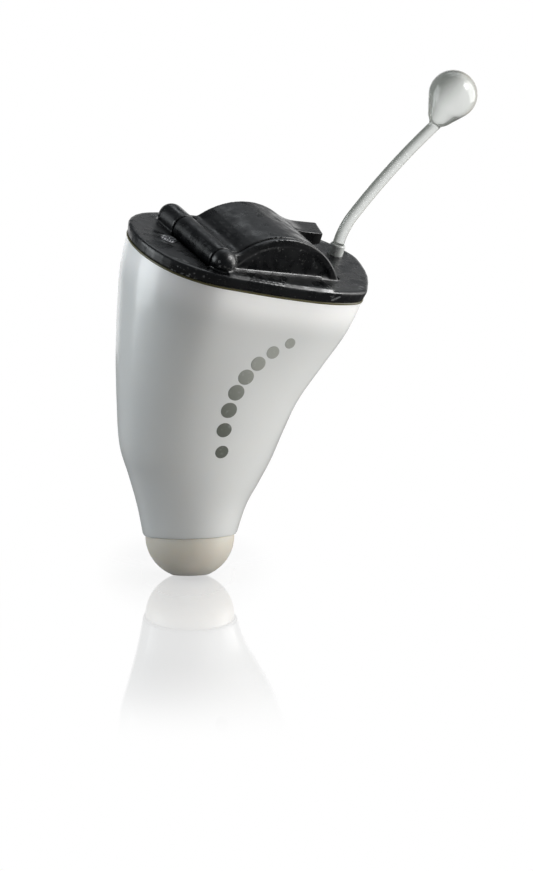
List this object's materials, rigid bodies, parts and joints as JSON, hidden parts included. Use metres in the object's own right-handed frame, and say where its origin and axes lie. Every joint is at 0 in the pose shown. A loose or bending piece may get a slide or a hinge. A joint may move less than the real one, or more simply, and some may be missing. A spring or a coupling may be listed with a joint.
{
  "type": "in-the-canal hearing aid",
  "caption": "Custom canal hearing aid: hollow acrylic shell, faceplate with hinged battery door, clear removal line with round knob, soft tip cap and pull-out wax guard.",
  "frame": {"origin": "middle of the shell's rim plane, where the faceplate is bonded on", "axes": "+Z out of the ear, square to the faceplate; +X from the battery door's hinge to its nail lip; +Y along the hinge, away from the fixed cheek"},
  "size_m": [0.019, 0.0099, 0.0304],
  "materials": {
    "shell_acrylic": "polished white acrylic, slightly translucent",
    "bond_adhesive": "cured clear adhesive, faintly yellow",
    "tip_silicone": "soft warm white silicone, satin",
    "faceplate_black": "black moulded nylon, glossy with fine specks",
    "door_black": "black moulded nylon, satin grey sheen",
    "steel": "fine ground",
    "screen_mesh": "dark woven mesh",
    "clear_nylon": "clear polished",
    "black_rubber": "matt",
    "grey_rubber": "matt",
    "bay_plastic": "black moulded, matt",
    "gold_plate": "gold plated spring bronze",
    "board_green": "solder mask",
    "chip_black": "moulded epoxy",
    "ceramic_tan": "fired ceramic",
    "copper_winding": "enamelled wire",
    "magnet_grey": "plated magnet frame",
    "clear_silicone": "translucent tube",
    "vent_plastic": "translucent tube",
    "red_wire": "enamelled",
    "amber_wire": "enamelled",
    "blue_wire": "enamelled",
    "cell_steel": "nickel plated",
    "cell_cap_steel": "nickel plated",
    "gasket_nylon": "natural nylon",
    "guard_white": "moulded white plastic"
  },
  "bodies": {
    "housing": {"shell": "shell_acrylic", "bond_line": "bond_adhesive", "tip_cap": "tip_silicone", "faceplate": "faceplate_black", "hinge_pin": "steel", "port_screen": "screen_mesh", "microphone": "steel", "microphone_grommet": "black_rubber", "battery_bay": "bay_plastic", "positive_contact": "gold_plate", "negative_contact": "gold_plate", "board_pad": "grey_rubber", "amplifier_board": "board_green", "amplifier_chip": "chip_black", "memory_chip": "chip_black", "capacitors": "ceramic_tan", "receiver_case": "steel", "receiver_cover": "steel", "receiver_spout": "steel", "receiver_coil": "copper_winding", "receiver_magnets": "magnet_grey", "receiver_armature": "steel", "receiver_terminals": "board_green", "receiver_boot": "grey_rubber", "receiver_tube": "clear_silicone", "vent_tube": "vent_plastic", "removal_line": "clear_nylon", "removal_knob": "clear_nylon", "line_collar": "clear_nylon", "microphone_wires": "red_wire", "receiver_wires": "amber_wire", "battery_wires": "blue_wire"},
    "battery_door": {"battery_door": "door_black", "battery_can": "cell_steel", "battery_gasket": "gasket_nylon", "battery_cap": "cell_cap_steel"},
    "wax_guard": {"wax_guard": "guard_white", "wax_guard_screen": "screen_mesh"}
  },
  "joints": [
    {"name": "door_hinge", "type": "hinge", "parent": "housing", "child": "battery_door", "pos_m": [-0.00385, 0, 0.0012], "axis": [0, -1, 0], "range_deg": [0, 95]},
    {"name": "wax_guard_slide", "type": "slide", "parent": "housing", "child": "wax_guard", "axis": [0.1464, -0.3448, -0.9272], "range_m": [0, 0.003]}
  ]
}
